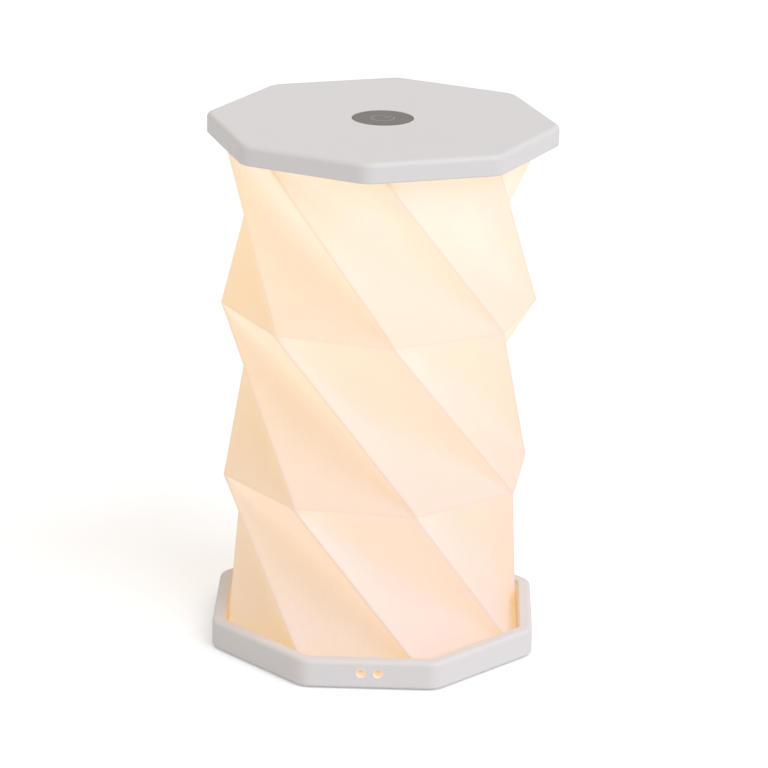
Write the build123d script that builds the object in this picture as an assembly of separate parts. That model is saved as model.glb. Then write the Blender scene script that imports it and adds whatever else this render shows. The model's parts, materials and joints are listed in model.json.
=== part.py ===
from build123d import *
import math
import os

# Portable table lamp: a light head and a base tray joined by a twist-folding paper shade.
# Millimetres, +Z up, origin on the table under the middle of the base, front face towards -Y.

# Octagon plan shared by the head and the base
across_flats = 116.0
corner_radius = 8.0
sides = 8

# Twist-folding shade
tier_count = 3
twist_open = 53.75       # degrees that a standing crease spans when the shade is open
twist_closed = 90.0      # degrees that the same crease spans when the shade lies flat
paper_wall = 0.6         # along the radius
hem_thickness = 0.4
hem_width = 6.0
shade_gap = 0.6          # from the corners of the shade's foot to the rim

# Base tray
base_height = 10.8       # top of the rim above the table
foot_proud = 0.5         # how far the pads lift the tray off the table
floor_thickness = 1.7
rim_width = 4.6
rim_outer_round = 1.6
rim_inner_round = 0.6
base_bottom_round = 1.0
least_land = 0.2         # flat left beside a rounded edge

# Strap holes in the front of the rim
strap_hole_diameter = 3.2
strap_hole_pitch = 6.0
strap_hole_height = 6.2  # above the table

# Rings that clamp the hems of the shade
ring_thickness = 1.6
ring_width = 5.0
ring_clearance = 0.3

# Steel plate in the base
weight_thickness = 1.2
weight_clearance = 0.5

# Rubber pads
pad_count = 4
pad_diameter = 10.0
pad_depth = 0.5          # how deep a pad is let into the tray
pad_inset = 8.0          # from the clamp ring's inner edge to a pad's centre
pad_clearance = 0.1

# Screws
screw_diameter = 1.6
screw_head_diameter = 2.8
screw_head_height = 0.8
screw_head_round = 0.25
screw_slot_length = 1.7
screw_slot_width = 0.4
screw_slot_depth = 0.35
screw_tip_gap = 0.2      # from a screw's tip to the far side of what it bites into
hole_clearance = 0.1     # round a screw in a plain hole
thread_clearance = 0.02  # round a screw in the piece it bites into

# Head shell and underside plate
skirt_depth = 2.2        # how far the skirt hangs below the plate
skirt_wall = 1.0
side_wall = 2.4
top_wall = 1.4
head_top_round = 1.8
head_bottom_round = 0.6
boss_diameter = 4.2
plate_thickness = 1.0
plate_clearance = 0.2

# Button
button_diameter = 21.4
button_gap = 0.25
button_thickness = 1.1
button_travel = 0.4
button_edge_round = 0.3
button_skirt_wall = 1.2
button_nub_diameter = 5.0
button_room = 0.25       # between the plunger and the underside of the top wall
flange_width = 0.9
flange_thickness = 0.4
flange_clearance = 0.1

# Switch under the button
switch_size = 4.5
switch_height = 0.6
plunger_diameter = 2.2
plunger_clearance = 0.05
plunger_spare = 0.05     # left between cap and switch when the button is down

# Control board
board_diameter = 50.0
board_thickness = 0.8
board_screw_inset = 2.4
board_lug_diameter = 4.4 # board left round each screw
post_diameter = 3.4
arm_width = 2.6
arm_end_gap = 1.2

# Light
led_count = 8
led_size = 3.0
led_height = 0.55
led_gap = 0.15
led_circle = 30.0
diffuser_diameter = 40.0
diffuser_clearance = 0.15
lip_width = 1.5
lip_thickness = 0.4

# Battery
tape_thickness = 0.3
tape_margin = 3.0
cell_headroom = 0.2
cell_clearance = 1.0
cell_edge_gap = 4.6      # from the side wall to a cell
cell_corner_radius = 2.0
lead_diameter = 0.8
lead_pitch = 1.6
lead_inset = 4.0         # from the cell's inner edge to the first lead
lead_drop = 5.0          # how far the leads run out of the cell before they turn
lead_landing = 4.0       # length of lead that lies on the board
lead_pad_offset = 12.5   # from the middle of the board to the first pad
lead_bend = 2.0
lead_lift = 0.05

# Charging inlet
inlet_width = 8.9
inlet_height = 3.2
inlet_depth = 7.3
inlet_wall = 0.3
inlet_clearance = 0.1
inlet_setback = 0.3
inlet_floor = 0.4        # plate left under the inlet
tongue_width = 6.7
tongue_thickness = 0.7
tongue_setback = 1.0

# Closed lamp
closed_gap = 0.4         # between rim and skirt when the lamp is folded

# Places worked out from the sizes above
half_side = 180 / sides
slant_angle = 2 * half_side
slant_ratio = 1 / math.cos(math.radians(slant_angle))
corner_ratio = 1 / math.cos(math.radians(half_side))
outer_apothem = across_flats / 2
recess_apothem = outer_apothem - rim_width
recess_corner = max(corner_radius - rim_width, rim_inner_round)
recess_reach = recess_apothem * corner_ratio - recess_corner * (corner_ratio - 1)

ring_radius = recess_reach - shade_gap
shade_apothem = ring_radius / corner_ratio
crease_length = 2 * ring_radius * math.sin(math.radians(twist_closed / 2))
open_chord = 2 * ring_radius * math.sin(math.radians(twist_open / 2))
tier_height = math.sqrt(crease_length ** 2 - open_chord ** 2)
apex_apothem = ring_radius * math.cos(math.radians(half_side + twist_open))
facet_lean = (shade_apothem - apex_apothem) / tier_height

floor_top = foot_proud + floor_thickness
shade_top = floor_top + tier_count * tier_height
hem_inner_apothem = shade_apothem - hem_width
ring_depth = hem_thickness + ring_thickness
ring_outer_apothem = shade_apothem - facet_lean * ring_depth - paper_wall - ring_clearance
ring_inner_apothem = ring_outer_apothem - ring_width
ring_screw_apothem = (ring_outer_apothem + max(ring_inner_apothem, hem_inner_apothem)) / 2

plate_bottom = shade_top
plate_top = plate_bottom + plate_thickness
board_bottom = plate_top + led_height + led_gap
board_top = board_bottom + board_thickness
switch_top = board_top + switch_height
plunger_top = switch_top + button_travel + plunger_spare
inlet_room = inlet_height + 2 * inlet_clearance
inlet_pocket = plate_thickness - inlet_floor
cavity_top = max(plunger_top + button_room, plate_top - inlet_pocket + inlet_room)
head_bottom = plate_bottom - skirt_depth
head_top = cavity_top + top_wall
skirt_apothem = outer_apothem - skirt_wall
cavity_apothem = outer_apothem - side_wall
head_screw_apothem = (shade_apothem + skirt_apothem) / 2
window_radius = diffuser_diameter / 2 + diffuser_clearance
board_screw_radius = max(board_diameter / 2 - board_screw_inset, window_radius + post_diameter / 2)
inlet_front = outer_apothem - inlet_setback
inlet_back = inlet_front - inlet_depth
inlet_middle = cavity_top - inlet_room / 2

# The head is drawn square to the base, then turned to where the open shade carries it.
# A quarter turn less leaves an octagon alike and keeps the charging inlet at the rear.
fold_turn = tier_count * (twist_closed - twist_open)
head_turn = Rot(0, 0, fold_turn - 90)
fold_travel = head_bottom - base_height - closed_gap

ON_FLOOR = (Align.CENTER, Align.CENTER, Align.MIN)


def octagon(apothem, radius):
    """Rounded octagon with flats square to the axes."""
    plan = RegularPolygon(apothem, sides, major_radius=False, rotation=half_side)
    return fillet(plan.vertices(), radius)


def prism(apothem, radius, low, high):
    """Rounded octagonal block between two heights."""
    return Pos(0, 0, low) * extrude(octagon(apothem, radius), high - low)


def sharp_prism(apothem, low, high):
    """Octagonal block with sharp corners, as folded paper has."""
    plan = RegularPolygon(apothem, sides, major_radius=False, rotation=half_side)
    return Pos(0, 0, low) * extrude(plan, high - low)


def disc(diameter, low, high, place=(0, 0)):
    """Upright cylinder between two heights."""
    x, y = place
    return Pos(x, y, low) * Cylinder(diameter / 2, high - low, align=ON_FLOOR)


def block(x_range, y_range, low, high):
    """Box between two corners."""
    size = (x_range[1] - x_range[0], y_range[1] - y_range[0], high - low)
    middle = ((x_range[0] + x_range[1]) / 2, (y_range[0] + y_range[1]) / 2, low)
    return Pos(*middle) * Box(*size, align=ON_FLOOR)


def around(count, radius, first=0.0):
    """Points spread evenly on a circle."""
    points = []
    for step in range(count):
        angle = math.radians(first + 360 * step / count)
        points.append((radius * math.cos(angle), radius * math.sin(angle)))
    return points


def flats(apothem):
    """Middle of each side of the octagon."""
    return around(sides, apothem)


def diagonals(apothem):
    """Middle of every other side, the slanting ones."""
    return around(sides // 2, apothem, slant_angle)


def cross_slot(face_height):
    """Cutter for the cross in a screw head that points up from face_height."""
    bar = Box(screw_slot_length, screw_slot_width, screw_slot_depth, align=ON_FLOOR)
    return Pos(0, 0, face_height) * (bar + Rot(0, 0, 90) * bar)


def countersunk(length, allowance=0.0):
    """Flat-headed screw from its face at zero up to its tip, or its hole with an allowance."""
    shaft_radius = screw_diameter / 2 + allowance
    head_radius = screw_head_diameter / 2 + allowance
    head = Cone(head_radius, shaft_radius, screw_head_height, align=ON_FLOOR)
    screw = head + Cylinder(shaft_radius, length, align=ON_FLOOR)
    return screw if allowance else screw - cross_slot(0)


def pan_screw(length):
    """Screw whose head hangs below zero and whose tip points up."""
    head = disc(screw_head_diameter, -screw_head_height, 0)
    rim = head.faces().sort_by(Axis.Z)[0].edges()
    head = fillet(rim, screw_head_round)
    return head + disc(screw_diameter, 0, length) - cross_slot(-screw_head_height)


def group(solids):
    """Separate solids that share one node."""
    return Compound(children=[solid.solid() for solid in solids])


def fold_ring(radius, height, angle):
    """Corners of one crease ring of the shade."""
    return [Vector(x, y, height) for x, y in around(sides, radius, angle)]


def folded_block(radius):
    """Solid inside the creased sheet: two triangles for each side of each tier."""
    rings = []
    for tier in range(tier_count + 1):
        height = floor_top + tier * tier_height
        rings.append(fold_ring(radius, height, half_side - tier * twist_open))
    outlines = [rings[0], rings[-1]]
    for lower, upper in zip(rings, rings[1:]):
        for side in range(sides):
            nxt = (side + 1) % sides
            outlines.append([lower[side], lower[nxt], upper[side]])
            outlines.append([upper[side], lower[nxt], upper[nxt]])
    skin = [Face(Wire.make_polygon(outline, close=True)) for outline in outlines]
    return Solid(Shell(skin))


def make_shade():
    """Folded sheet with hems turned in over the floor and under the head plate."""
    hollow_low = floor_top + hem_thickness
    hollow_high = shade_top - hem_thickness
    hollow = folded_block(ring_radius - paper_wall)
    hollow &= sharp_prism(ring_radius, hollow_low, hollow_high)
    sheet = folded_block(ring_radius) - hollow
    for low, high, turn in ((floor_top, hollow_low, Rot(0, 0, 0)), (hollow_high, shade_top, head_turn)):
        sheet -= turn * sharp_prism(hem_inner_apothem, low, high)
        for place in flats(ring_screw_apothem):
            sheet -= turn * disc(screw_diameter + 2 * hole_clearance, low, high, place)
    return sheet


def make_base_tray():
    """Tray with a raised rim, strap holes in front and pockets for screws and pads below."""
    tray = prism(outer_apothem, corner_radius, foot_proud, base_height)
    outer_round = min(rim_outer_round, rim_width - rim_inner_round - least_land)
    tray = fillet(tray.faces().sort_by(Axis.Z)[-1].edges(), outer_round)
    tray = fillet(tray.faces().sort_by(Axis.Z)[0].edges(), min(base_bottom_round, floor_thickness))
    tray -= prism(recess_apothem, recess_corner, floor_top, base_height)
    rim_face = tray.faces().filter_by(Axis.Z).sort_by(Axis.Z)[-1]
    tray = fillet(rim_face.inner_wires()[0].edges(), rim_inner_round)
    for x in (-strap_hole_pitch / 2, strap_hole_pitch / 2):
        drill = Cylinder(strap_hole_diameter / 2, 2 * rim_width, rotation=(90, 0, 0))
        tray -= Pos(x, rim_width / 2 - outer_apothem, strap_hole_height) * drill
    for x, y in flats(ring_screw_apothem):
        tray -= Pos(x, y, foot_proud) * countersunk(floor_thickness, hole_clearance)
    for place in pad_places():
        tray -= disc(pad_diameter + 2 * pad_clearance, foot_proud, foot_proud + pad_depth, place)
    return tray


def pad_places():
    """Centres of the rubber pads, under the slanting sides."""
    return around(pad_count, ring_inner_apothem - pad_inset, slant_angle)


def make_foot_pads():
    """Round pads that the lamp stands on."""
    pads = []
    for place in pad_places():
        pads.append(disc(pad_diameter, 0, foot_proud + pad_depth, place))
    return group(pads)


def make_clamp_ring(low):
    """Octagonal ring with a pilot hole in the middle of each side."""
    high = low + ring_thickness
    ring = sharp_prism(ring_outer_apothem, low, high) - sharp_prism(ring_inner_apothem, low, high)
    for place in flats(ring_screw_apothem):
        ring -= disc(screw_diameter + 2 * thread_clearance, low, high, place)
    return ring


def make_base_screws():
    """Screws from under the floor into the foot ring."""
    length = floor_thickness + ring_depth - screw_tip_gap
    return group([Pos(x, y, foot_proud) * countersunk(length) for x, y in flats(ring_screw_apothem)])


def make_ring_screws():
    """Screws from above the head plate down into the top ring."""
    length = plate_thickness + ring_depth - screw_tip_gap
    screw = Rot(180, 0, 0) * countersunk(length)
    return group([head_turn * Pos(x, y, plate_top) * screw for x, y in flats(ring_screw_apothem)])


def make_base_weight():
    """Steel plate on the floor, inside the foot ring."""
    return sharp_prism(ring_inner_apothem - weight_clearance, floor_top, floor_top + weight_thickness)


def inlet_section(width, height):
    """Outline of the charging inlet, round at both ends."""
    return Plane.XZ * SlotOverall(width, height)


def inlet_block(width, height, back, front):
    """Solid of the inlet's outline between two distances from the axis."""
    section = Pos(0, back, inlet_middle) * inlet_section(width, height)
    return extrude(section, amount=front - back, dir=(0, 1, 0))


def make_head_cover():
    """Shell of the head: top, side walls, skirt, button hole, inlet slot and screw bosses."""
    cover = prism(outer_apothem, corner_radius, head_bottom, head_top)
    bottom_round = min(head_bottom_round, skirt_wall - least_land)
    cover = fillet(cover.faces().sort_by(Axis.Z)[-1].edges(), min(head_top_round, side_wall))
    cover = fillet(cover.faces().sort_by(Axis.Z)[0].edges(), bottom_round)
    cover -= prism(skirt_apothem, max(corner_radius - skirt_wall, skirt_wall), head_bottom, plate_top)
    cavity = prism(cavity_apothem, max(corner_radius - side_wall, skirt_wall), plate_top, cavity_top)
    for place in diagonals(head_screw_apothem):
        cavity -= disc(boss_diameter, plate_top, cavity_top, place)
    cover -= cavity
    for place in diagonals(head_screw_apothem):
        pilot = screw_diameter + 2 * thread_clearance
        cover -= disc(pilot, plate_top, cavity_top, place)
    cover -= disc(button_diameter + 2 * button_gap, cavity_top, head_top)
    slot_width = inlet_width + 2 * inlet_clearance
    cover -= inlet_block(slot_width, inlet_room, inlet_back, outer_apothem + inlet_setback)
    return head_turn * cover


def make_head_plate():
    """Underside plate with the light window, board posts and seats for screws and inlet."""
    plate_corner = max(corner_radius - skirt_wall - plate_clearance, skirt_wall)
    plate = prism(skirt_apothem - plate_clearance, plate_corner, plate_bottom, plate_top)
    for place in diagonals(board_screw_radius):
        plate += disc(post_diameter, plate_top, board_bottom, place)
        plate -= disc(screw_diameter + 2 * thread_clearance, plate_bottom, board_bottom, place)
    plate -= disc(diffuser_diameter - 2 * lip_width, plate_bottom, plate_top)
    plate -= disc(2 * window_radius, plate_bottom + lip_thickness, plate_top)
    for place in diagonals(head_screw_apothem):
        plate -= disc(screw_diameter + 2 * hole_clearance, plate_bottom, plate_top, place)
    seat = Rot(180, 0, 0) * countersunk(plate_thickness, hole_clearance)
    for x, y in flats(ring_screw_apothem):
        plate -= Pos(x, y, plate_top) * seat
    half_width = inlet_width / 2 + inlet_clearance
    pocket = block(
        (-half_width, half_width),
        (inlet_back - inlet_clearance, outer_apothem),
        plate_top - inlet_pocket,
        plate_top,
    )
    return head_turn * (plate - pocket)


def make_head_screws():
    """Screws from under the plate into the bosses of the cover."""
    length = cavity_top - plate_bottom - screw_tip_gap
    screw = pan_screw(length)
    return group([head_turn * Pos(x, y, plate_bottom) * screw for x, y in diagonals(head_screw_apothem)])


def make_diffuser():
    """Milky disc on the lip of the light window."""
    return head_turn * disc(diffuser_diameter, plate_bottom + lip_thickness, plate_top)


def make_control_board():
    """Round board with two arms that hold the charging inlet between them."""
    inner = inlet_width / 2 + inlet_clearance
    outer = inner + arm_width
    reach = cavity_apothem - arm_end_gap
    board = disc(board_diameter, board_bottom, board_top)
    board += block((-outer, outer), (0, reach), board_bottom, board_top)
    board -= block((-inner, inner), (inlet_back - inlet_clearance, reach), board_bottom, board_top)
    for place in diagonals(board_screw_radius):
        board += disc(board_lug_diameter, board_bottom, board_top, place)
        board -= disc(screw_diameter + 2 * hole_clearance, board_bottom, board_top, place)
    return head_turn * board


def make_board_screws():
    """Screws through the board into its posts."""
    length = board_top - plate_bottom - screw_tip_gap
    screw = Rot(180, 0, 0) * pan_screw(length)
    return group([head_turn * Pos(x, y, board_top) * screw for x, y in diagonals(board_screw_radius)])


def make_leds():
    """Light emitting diodes in a ring under the board."""
    chips = []
    chip = Box(led_size, led_size, led_height, align=ON_FLOOR)
    for step, (x, y) in enumerate(around(led_count, led_circle / 2)):
        turn = Rot(0, 0, 360 * step / led_count)
        chips.append(head_turn * Pos(x, y, board_bottom - led_height) * turn * chip)
    return group(chips)


def make_tact_switch():
    """Low switch body with a bore for its plunger."""
    half = switch_size / 2
    body = block((-half, half), (-half, half), board_top, switch_top)
    return head_turn * (body - disc(plunger_diameter + 2 * plunger_clearance, board_top, switch_top))


def make_switch_plunger():
    """Plunger that the button pushes into the switch."""
    return disc(plunger_diameter, board_top + button_travel + plunger_spare, plunger_top)


def make_button_cap():
    """Flush cap with a skirt, a flange that keeps it in the cover and a nub on the plunger."""
    cap_bottom = head_top - button_thickness
    flange_top = cavity_top - flange_clearance
    flange_bottom = flange_top - flange_thickness
    hole_diameter = button_diameter + 2 * button_gap
    cap = disc(button_diameter, cap_bottom, head_top)
    cap = fillet(cap.faces().sort_by(Axis.Z)[-1].edges(), min(button_edge_round, button_thickness / 2))
    cap += disc(button_diameter, flange_bottom, cap_bottom)
    cap += disc(hole_diameter + 2 * flange_width, flange_bottom, flange_top)
    cap -= disc(button_diameter - 2 * button_skirt_wall, flange_bottom, cap_bottom)
    cap += disc(button_nub_diameter, plunger_top, cap_bottom)
    return head_turn * cap


def cell_span():
    """Inner edge, outer edge and half length of a cell, as far as walls and board leave room."""
    inner = board_diameter / 2 + cell_clearance
    outer = cavity_apothem - cell_edge_gap
    half_length = (cavity_apothem - cell_clearance) * slant_ratio - outer
    return inner, outer, half_length


def make_battery_cells():
    """Two flat pouch cells, one on each side of the board."""
    inner, outer, half_length = cell_span()
    low = plate_top + tape_thickness
    high = cavity_top - cell_headroom
    cell = block((inner, outer), (-half_length, half_length), low, high)
    cell = fillet(cell.edges().filter_by(Axis.Z), cell_corner_radius)
    return group([head_turn * cell, head_turn * Rot(0, 0, 180) * cell])


def make_battery_tape():
    """Foam tape between each cell and the plate."""
    inner, outer, half_length = cell_span()
    tape = block(
        (inner + tape_margin, outer - tape_margin),
        (tape_margin - half_length, half_length - tape_margin),
        plate_top,
        plate_top + tape_thickness,
    )
    return group([head_turn * tape, head_turn * Rot(0, 0, 180) * tape])


def lead_route(order):
    """Corner points of one lead, from the end of a cell to its pad on the board."""
    inner, outer, half_length = cell_span()
    height = board_top + lead_diameter / 2 + lead_lift
    shift = order * lead_pitch
    start_x = inner + lead_inset + shift
    turn_y = -half_length - lead_drop - shift
    pad_x = lead_pad_offset - shift
    edge_y = -math.sqrt((board_diameter / 2) ** 2 - pad_x ** 2)
    return [
        (start_x, -half_length, height),
        (start_x, turn_y, height),
        (pad_x, turn_y, height),
        (pad_x, edge_y + lead_landing, height),
    ]


def make_battery_leads():
    """Two leads from each cell to the board."""
    leads = []
    for order in range(2):
        path = FilletPolyline(*lead_route(order), radius=lead_bend)
        section = Plane(path @ 0, z_dir=path % 0) * Circle(lead_diameter / 2)
        lead = sweep(section, path=path)
        leads.append(head_turn * lead)
        leads.append(head_turn * mirror(lead, about=Plane.YZ))
    return group(leads)


def make_inlet():
    """Shell of the charging inlet, closed at the back."""
    shell = inlet_block(inlet_width, inlet_height, inlet_back, inlet_front)
    inner_width = inlet_width - 2 * inlet_wall
    inner_height = inlet_height - 2 * inlet_wall
    hollow = inlet_block(inner_width, inner_height, inlet_back + inlet_wall, inlet_front)
    return head_turn * (shell - hollow)


def make_tongue():
    """Contact tongue on the back wall of the inlet."""
    half = tongue_width / 2
    low = inlet_middle - tongue_thickness / 2
    tongue = block(
        (-half, half),
        (inlet_back + inlet_wall, inlet_front - tongue_setback),
        low,
        low + tongue_thickness,
    )
    return head_turn * tongue


pieces = {
    "base_tray": make_base_tray(),
    "base_weight": make_base_weight(),
    "base_screws": make_base_screws(),
    "foot_pads": make_foot_pads(),
    "shade_foot_ring": make_clamp_ring(floor_top + hem_thickness),
    "shade": make_shade(),
    "shade_top_ring": head_turn * make_clamp_ring(shade_top - ring_depth),
    "ring_screws": make_ring_screws(),
    "head_cover": make_head_cover(),
    "head_plate": make_head_plate(),
    "head_screws": make_head_screws(),
    "diffuser": make_diffuser(),
    "leds": make_leds(),
    "control_board": make_control_board(),
    "board_screws": make_board_screws(),
    "tact_switch": make_tact_switch(),
    "switch_plunger": make_switch_plunger(),
    "button_cap": make_button_cap(),
    "battery_cells": make_battery_cells(),
    "battery_tape": make_battery_tape(),
    "battery_leads": make_battery_leads(),
    "usb_socket": make_inlet(),
    "usb_tongue": make_tongue(),
}

os.makedirs("parts", exist_ok=True)
for name, piece in pieces.items():
    export_step(piece, f"parts/{name}.step")

print(f"shade radius {ring_radius:.3f}, tier height {tier_height:.3f}, shade top {shade_top:.3f}")
print(f"head {head_bottom:.3f} to {head_top:.3f}, floor {floor_top:.3f}")
print(f"fold travel {fold_travel:.3f}, turn {fold_turn:.3f} degrees")
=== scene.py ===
"""Folding table lamp: folds its lit paper shade, finishes every piece and sets the studio."""

import json
import math

import bmesh
import bpy
import numpy as np
from mathutils import Matrix, Vector, noise


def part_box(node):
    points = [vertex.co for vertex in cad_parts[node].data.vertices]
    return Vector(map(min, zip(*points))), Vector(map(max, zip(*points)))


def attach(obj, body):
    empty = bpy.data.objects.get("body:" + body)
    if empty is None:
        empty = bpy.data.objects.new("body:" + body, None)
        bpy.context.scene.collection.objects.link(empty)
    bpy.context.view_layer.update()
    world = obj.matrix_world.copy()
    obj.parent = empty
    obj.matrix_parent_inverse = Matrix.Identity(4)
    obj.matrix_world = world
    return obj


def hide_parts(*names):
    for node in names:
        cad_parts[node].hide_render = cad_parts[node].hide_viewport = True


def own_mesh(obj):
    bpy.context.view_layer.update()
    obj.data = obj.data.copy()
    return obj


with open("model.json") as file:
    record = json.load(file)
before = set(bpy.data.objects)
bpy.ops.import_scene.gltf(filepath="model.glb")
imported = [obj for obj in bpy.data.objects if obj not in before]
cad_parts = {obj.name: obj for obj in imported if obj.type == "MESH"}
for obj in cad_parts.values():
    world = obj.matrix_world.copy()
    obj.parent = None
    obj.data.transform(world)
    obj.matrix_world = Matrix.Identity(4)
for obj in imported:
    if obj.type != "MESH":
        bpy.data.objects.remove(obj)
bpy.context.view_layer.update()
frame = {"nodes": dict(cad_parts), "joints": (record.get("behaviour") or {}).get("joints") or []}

bl_info = {
    "name": "Folding Table Lamp",
    "version": (1, 0, 0),
    "blender": (4, 5, 0),
    "location": "View3D > Sidebar > Lamp",
    "description": "Folds the lit paper shade, finishes the lamp's pieces and sets the studio",
    "category": "Object",
}

WHITE = (1.0, 1.0, 1.0, 1.0)
BLACK = (0.0, 0.0, 0.0, 1.0)
EDGE_SPARE = 1e-6  # slack for points on an edge

# Places that come from the CAD frame, in metres
SIDES = 8
TIERS = 3
SIDE_TURN = math.tau / SIDES
CLOSED_TWIST = 90.0  # degrees that a standing crease spans when the shade lies flat
JOINTS = {joint["name"]: joint for joint in frame["joints"]}
TWIST = math.radians(CLOSED_TWIST + JOINTS["twist"]["range_deg"][0] / TIERS)
SHADE_LOW, SHADE_HIGH = (corner.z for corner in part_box("shade"))
SHADE_HEIGHT = SHADE_HIGH - SHADE_LOW
TIER_HEIGHT = SHADE_HEIGHT / TIERS
RING_RADIUS = max(v.co.xy.length for v in frame["nodes"]["shade"].data.vertices)
RING_APOTHEM = RING_RADIUS * math.cos(SIDE_TURN / 2)
RING_MOUTHS = {0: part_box("shade_foot_ring")[1].z, TIERS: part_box("shade_top_ring")[0].z}
RIM_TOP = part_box("base_tray")[1].z
RIM_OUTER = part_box("base_tray")[1].x
BUTTON_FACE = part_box("button_cap")[1].z
BUTTON_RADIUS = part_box("button_cap")[1].x
LIGHT_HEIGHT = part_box("diffuser")[0].z

# Flat cut of the sheet, a row of slanted panels for each tier
PANEL_WIDTH = 2 * RING_RADIUS * math.sin(SIDE_TURN / 2)
STANDING_CREASE = 2 * RING_RADIUS * math.sin(math.radians(CLOSED_TWIST) / 2)
VALLEY_CREASE = math.hypot(2 * RING_RADIUS * math.sin((TWIST + SIDE_TURN) / 2), TIER_HEIGHT)
PANEL_SLANT = (VALLEY_CREASE**2 - STANDING_CREASE**2 - PANEL_WIDTH**2) / (-2 * PANEL_WIDTH)
PANEL_HEIGHT = math.sqrt(STANDING_CREASE**2 - PANEL_SLANT**2)
PANEL_REACH = PANEL_WIDTH * PANEL_HEIGHT / STANDING_CREASE  # from a standing crease to the next
VALLEY_REACH = PANEL_WIDTH * PANEL_HEIGHT / VALLEY_CREASE  # from a valley to the panel's far corner
VALLEY_FOOT = math.sqrt(STANDING_CREASE**2 - VALLEY_REACH**2) / VALLEY_CREASE
FLAT_CUT = "flat cut"  # UV map of the sheet
GLOW = "glow"  # attribute of the sheet
SWELL_SCALE = 45.0  # waves of the swollen panels, for each metre

# Glued lap of the sheet's two ends
LAP_COLUMN = 3  # column at the back
LAP_WIDTH = 0.0055
LAP_STEP = 0.0003

# Screws through the hems
SCREW_RING = 0.0485
SCREW_GAP = 0.0018

# Rim and strap holes of the base
RIM_WIDTH = 0.0046
RIM_INNER = RIM_OUTER - RIM_WIDTH
HOLE_PITCH = 0.006
HOLE_HEIGHT = 0.0062
HOLE_RADIUS = 0.0016

# Lamps in the head
LAMP_COUNT = 8
LAMP_CIRCLE = 0.015

# Shade of the head on the light that reaches the top of the sheet
HOOD_REACH = 0.020
HOOD_SHARE = 0.4

# Painted light and painted shade beside a standing crease
CREST_REACH = 0.018
GUTTER_REACH = 0.014

# Fibres and clouds of the paper, in waves for each metre of the flat cut
FIBRE_STRETCH = (2600.0, 120.0, 120.0)
CROSSING_STRETCH = (1800.0, 200.0, 200.0)
CROSSING_TURN = (0.0, 0.0, 1.1)
CROSSING_SHARE = 0.4
CLOUD_SCALE = 140.0

# What fibres, clouds, creases and the lap do to the paper's light, tone and relief
FIBRE_LIGHT = 0.10
FIBRE_TONE = 0.94
FIBRE_RELIEF = 0.1
CLOUD_LIGHT = 0.06
CREASE_LINE = 0.0016
CREASE_LIGHT = 0.14
CREASE_TONE = 0.97
RING_SHARE = 0.35  # of a standing crease's line
LAP_LIGHT = 0.1

# Grain of moulded plastic
GRAIN_SCALE = 5200.0
GRAIN_DEPTH = 0.00002
GRAIN_SHARE = 0.35
GRAIN_TONE = 0.965
GRAIN_SATIN = 0.12
DRIFT_SCALE = 55.0

# Drawn lines and pits of plated steel
LINE_STRETCH = (300.0, 9000.0, 9000.0)
LINE_DEPTH = 0.00001
LINE_TONE = 0.86
LINE_SATIN = 0.2
PIT_SCALE = 2500.0
PIT_SHARE = 0.5

# Lamp light in the base: how far past the rim's inner face it is gone, and still whole
RIM_FADE = (0.0010, 0.0002)
RIM_GLOW_DEPTH = 0.003
HOLE_FADE = 0.0002

# Button: where its printed face and the painted shadow of the gap round its edge start and end, below the
# face and in from the side
FACE_FADE = (0.0001, 0.00005)
GAP_SHADE_FADE = (0.0007, 0.0002)
GAP_SHADE_TONE = 0.6

# Printed icon, in widths of its line: edges of the line, start of the bar and gap beside the bar
ICON_FADE = (0.6, 0.4)
BAR_FADE = (1.4, 1.6)
ROOM_FADE = (2.7, 2.5)

# Studio
PHOTO_SIDE = 768  # pixels on each side of the picture
CAMERA_REACH = 50.0
FLOOR_REACH = 8.0
CONTACT_REACH = 0.012
CONTACT_SHARE = 0.4
CONTACT_SAMPLES = 16

# Numbers of the Mix node's colour sockets
MIX_FACTOR, MIX_FIRST, MIX_SECOND, MIX_RESULT = 0, 6, 7, 2


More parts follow.
